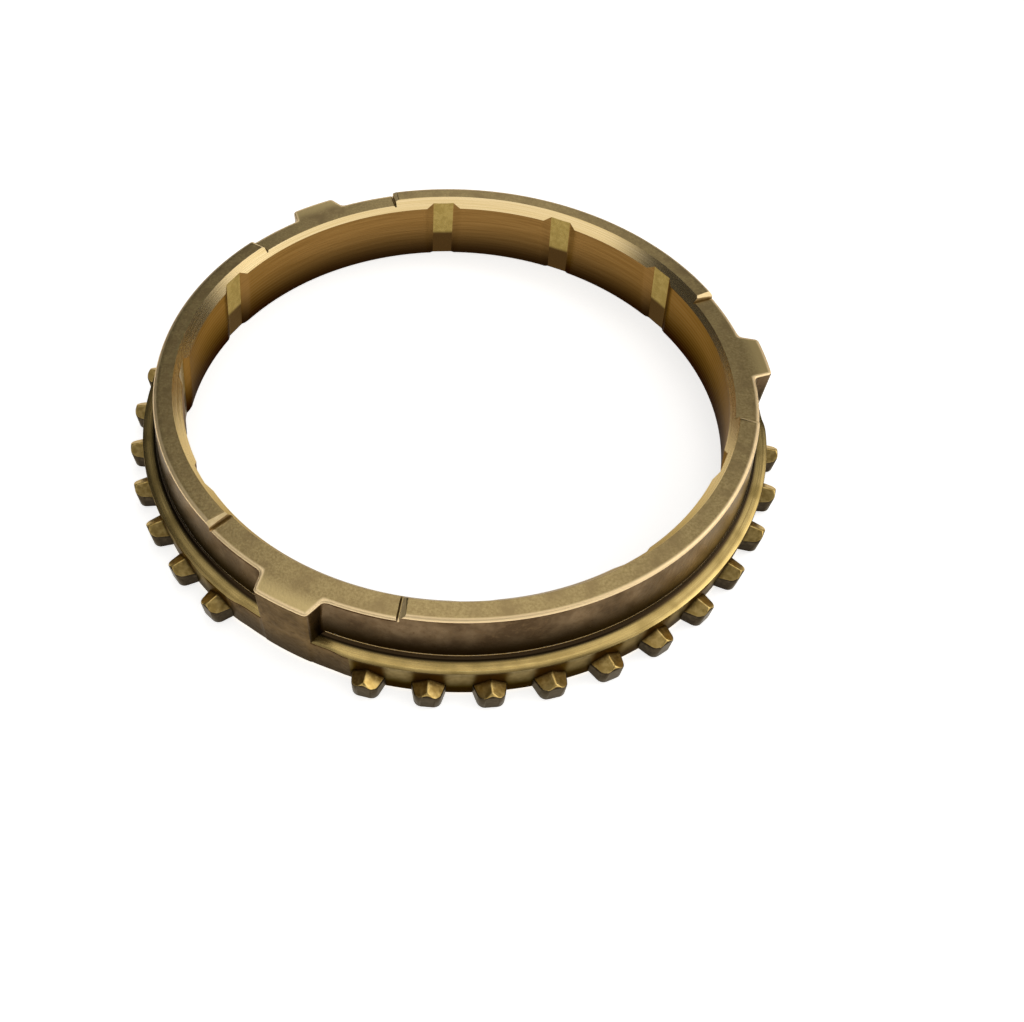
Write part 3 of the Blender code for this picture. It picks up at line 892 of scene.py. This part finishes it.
def finish_of(centre, normal):
    """The finish of a face, from where it lies and which way it looks.

    Outward is 1 on a face that looks straight out from the axis, and -1 on one that looks at it.
    """
    radius = hypot(centre.x, centre.y)
    outward = (normal.x * centre.x + normal.y * centre.y) / radius
    sideways = hypot(normal.x, normal.y) > 0.4 and abs(outward) < 0.3
    over_cone = radius - (CONE_MOUTH_RADIUS - centre.z * tan(CONE_HALF_ANGLE))
    lug_angle = angle_to_lug(atan2(centre.y, centre.x) % (2 * pi))
    near_top = centre.z > SEAT_HEIGHT - TOP_EDGE_ROUND
    at_bevel = centre.z > THROAT_HEIGHT - FACE_MARGIN and radius < TOP_INNER_RADIUS + FACE_MARGIN
    at_lug_face = lug_angle < PAD_HALF_ANGLE + PAD_MARGIN and radius > LEDGE_INNER_RADIUS + LUG_MARGIN
    if at_bevel and outward < -0.3:
        return "bright_bevel"
    if near_top and sideways and radius < WALL_TOP_RADIUS:
        return "step_face"
    if near_top and normal.z > 0.47 and outward > -0.5:
        return "blasted_top"
    if over_cone < BORE_DEPTH and outward < 0.4 and normal.z > -0.9:
        return "turned_cone" if over_cone < CREST_DEPTH else "smooth_groove"
    if at_lug_face and outward > 0.75:
        return "lug_skin"
    if centre.z > RELIEF_TOP + FACE_MARGIN / 5 or (sideways and lug_angle < PAD_HALF_ANGLE):
        return "forged_wall"
    if radius > FLANGE_RADIUS + FACE_MARGIN:
        return "spline_tooth"
    if radius > FLANGE_RADIUS - FLANGE_FOOT_CHAMFER and abs(normal.z) < 0.6:
        return "flange_painted_shade"
    return "machined_brass"


def dress(ring):
    ring.data.materials.clear()
    for name, (painter, edge_tint, turned) in FINISHES.items():
        ring.data.materials.append(metal(name, painter, edge_tint, turned))
    order = list(FINISHES)
    for face in ring.data.polygons:
        face.material_index = order.index(finish_of(face.center, face.normal))


# The photo's camera: measured in ring radii over the teeth, in a frame turned by the near lug's angle
CAMERA_DISTANCE = 2.6153
CAMERA_ELEVATION = radians(47.109)
CAMERA_TURN = radians(-5.08)
CAMERA_AIM = (-0.0478, -0.3859)
CAMERA_ROLL = radians(1.145)
FOCAL_PIXELS = 800.8
PHOTO_WIDTH = 1024
PHOTO_CENTRE_X = 433
SENSOR_WIDTH = 36.0


def photo_camera():
    radius = TOOTH_TIP_RADIUS
    turned = Matrix.Rotation(CAMERA_TURN, 3, "Z")
    away = CAMERA_DISTANCE * radius
    place = turned @ Vector((0.0, -away * cos(CAMERA_ELEVATION), away * sin(CAMERA_ELEVATION)))
    aim = turned @ Vector((CAMERA_AIM[0] * radius, CAMERA_AIM[1] * radius, 0.0))
    forward = (aim - place).normalized()
    right = forward.cross(Vector((0.0, 0.0, 1.0))).normalized()
    up = right.cross(forward)
    rolled_right = right * cos(CAMERA_ROLL) + up * sin(CAMERA_ROLL)
    rolled_up = up * cos(CAMERA_ROLL) - right * sin(CAMERA_ROLL)
    axes = Matrix((rolled_right, rolled_up, -forward)).transposed()
    data = bpy.data.cameras.new("photo_camera")
    data.sensor_width = SENSOR_WIDTH
    data.lens = FOCAL_PIXELS / PHOTO_WIDTH * SENSOR_WIDTH
    data.shift_x = (PHOTO_WIDTH / 2 - PHOTO_CENTRE_X) / PHOTO_WIDTH
    data.clip_start = 0.005
    data.clip_end = 20.0
    camera = bpy.data.objects.new("photo_camera", data)
    camera.matrix_world = Matrix.Translation(place) @ axes.to_4x4()
    bpy.context.scene.collection.objects.link(camera)
    bpy.context.scene.camera = camera


# The room's soft lights: azimuth, elevation, half-angles of full and no light in degrees, and strength
SKY_DIM = 0.04
SKY_LIGHTS = (
    (82, 60, 8, 26, 1.40),
    (84, 30, 6, 17, 0.97),
    (90, 84, 8, 34, 0.50),
    (12, 42, 11, 26, 1.90),
    (178, 54, 7, 20, 0.50),
)
# The long window in front: azimuth, half-angles of full and no light, elevations, and strength
WINDOW_AZIMUTH = radians(-78)
WINDOW_SPREAD = (radians(78), radians(100))
WINDOW_FOOT = (radians(2), radians(12))
WINDOW_HEAD = (radians(38), radians(56))
WINDOW_STRENGTH = 1.0
FLOOR_GLOW = 0.70
FLOOR_SIZE = 4.0
FLOOR_GAP = 0.00002


def floor_material():
    """A plain pale floor that is bright by itself, so that it stays white under a soft light."""
    material = bpy.data.materials.new("floor_white")
    material.use_nodes = True
    shader = material.node_tree.nodes["Principled BSDF"]
    shader.inputs["Base Color"].default_value = (0.80, 0.795, 0.785, 1.0)
    shader.inputs["Roughness"].default_value = 0.8
    shader.inputs["Specular IOR Level"].default_value = 0.0
    shader.inputs["Emission Color"].default_value = (1.0, 0.995, 0.985, 1.0)
    shader.inputs["Emission Strength"].default_value = FLOOR_GLOW
    return material


def cosine_to(tree, direction, towards):
    made = node(tree, "ShaderNodeVectorMath", {0: direction, 1: towards}, operation="DOT_PRODUCT")
    return made.outputs["Value"]


def long_window(tree, direction):
    """How much of the long window lies in a direction of the sky."""
    parts = node(tree, "ShaderNodeSeparateXYZ", {0: direction})
    flat = node(tree, "ShaderNodeCombineXYZ", {"X": parts.outputs["X"], "Y": parts.outputs["Y"]}).outputs[0]
    level = node(tree, "ShaderNodeVectorMath", {0: flat}, operation="NORMALIZE").outputs[0]
    middle = Vector((cos(WINDOW_AZIMUTH), sin(WINDOW_AZIMUTH), 0.0))
    inner, outer = WINDOW_SPREAD
    sideways = between(tree, cosine_to(tree, level, middle), cos(outer), cos(inner))
    foot = between(tree, parts.outputs["Z"], sin(WINDOW_FOOT[0]), sin(WINDOW_FOOT[1]))
    head = between(tree, parts.outputs["Z"], sin(WINDOW_HEAD[1]), sin(WINDOW_HEAD[0]))
    return maths(tree, "MULTIPLY", sideways, maths(tree, "MULTIPLY", foot, head))


def sky():
    """A dim room: a long window in front and soft lights overhead, behind and at both sides."""
    world = bpy.data.worlds.new("studio_room")
    world.use_nodes = True
    tree = world.node_tree
    direction = node(tree, "ShaderNodeTexCoord").outputs["Generated"]
    total = maths(tree, "MULTIPLY_ADD", long_window(tree, direction), WINDOW_STRENGTH, SKY_DIM)
    for *angles, strength in SKY_LIGHTS:
        azimuth, elevation, inner, outer = map(radians, angles)
        towards = Vector((cos(azimuth) * cos(elevation), sin(azimuth) * cos(elevation), sin(elevation)))
        share = between(tree, cosine_to(tree, direction, towards), cos(outer), cos(inner))
        total = maths(tree, "MULTIPLY_ADD", share, strength, total)
    background = tree.nodes["Background"]
    background.inputs["Color"].default_value = (1.0, 0.985, 0.96, 1.0)
    tree.links.new(total, background.inputs["Strength"])
    bpy.context.scene.world = world


def studio():
    bpy.ops.mesh.primitive_plane_add(size=FLOOR_SIZE, location=(0.0, 0.0, -FLOOR_GAP))
    floor = bpy.context.object
    floor.name = "floor"
    floor.data.materials.append(floor_material())
    sky()


ring = build_ring()
dress(ring)
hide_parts(NODE)
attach(ring, "root")
photo_camera()
studio()
bpy.context.scene.view_settings.view_transform = "Standard"
